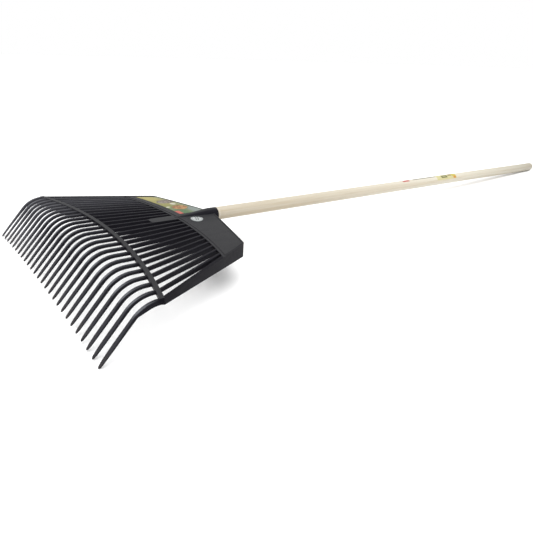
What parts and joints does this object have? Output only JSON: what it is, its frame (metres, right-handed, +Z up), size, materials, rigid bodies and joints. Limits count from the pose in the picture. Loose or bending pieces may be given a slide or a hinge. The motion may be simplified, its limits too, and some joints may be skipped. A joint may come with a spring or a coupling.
{
  "type": "leaf rake",
  "caption": "Fan-shaped plastic leaf rake head with down-turned tines, a curved crossbar and a conical socket, on a long round wooden handle.",
  "frame": {"origin": "centre of the whole rake's footprint, on the floor it lies on", "axes": "+Y from the tines towards the grip end of the handle, +Z up with the rake lying on its tine tips and the grip end, X from side to side of the fan"},
  "size_m": [0.6116, 1.7982, 0.0849],
  "materials": {
    "head_plastic": "satin moulded polypropylene, near black",
    "handle_wood": "pale turned hardwood, clear lacquer",
    "screw_steel": "zinc plated",
    "label_film": "printed film",
    "badge_resin": "domed resin, light silver",
    "sticker_film": "printed film"
  },
  "bodies": {
    "root": {"rake_head": "head_plastic", "handle": "handle_wood", "handle_screw": "screw_steel", "product_label": "label_film", "maker_badge": "badge_resin", "handle_sticker": "sticker_film"}
  },
  "joints": []
}
